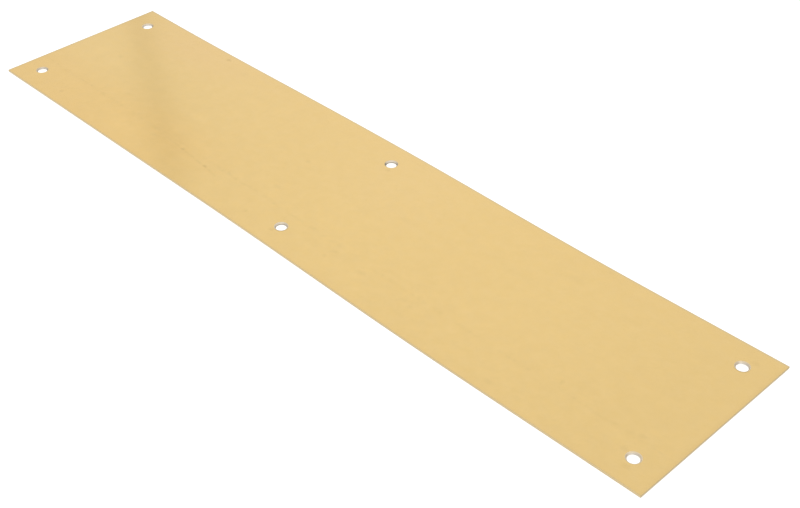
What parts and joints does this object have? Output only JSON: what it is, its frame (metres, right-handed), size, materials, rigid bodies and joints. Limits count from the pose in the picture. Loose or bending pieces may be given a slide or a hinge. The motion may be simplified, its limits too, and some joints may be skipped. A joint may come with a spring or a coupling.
{
  "type": "door finger plate",
  "caption": "Long rectangular sheet brass plate with six countersunk screw holes along its long edges, fixed flat to a door to keep hands off the paint.",
  "frame": {"origin": "middle of the flat back face, on the surface the plate lies on or is fixed to", "axes": "+X along the plate's length, +Y across its width, +Z out of the polished face"},
  "size_m": [0.3048, 0.0698, 0.0008],
  "materials": {
    "polished_brass": "sheet brass, semi-polished face with a soft satin sheen, faint marks from handling, duller sheared edges and countersunk holes"
  },
  "bodies": {
    "root": {"finger_plate": "polished_brass"}
  },
  "joints": []
}
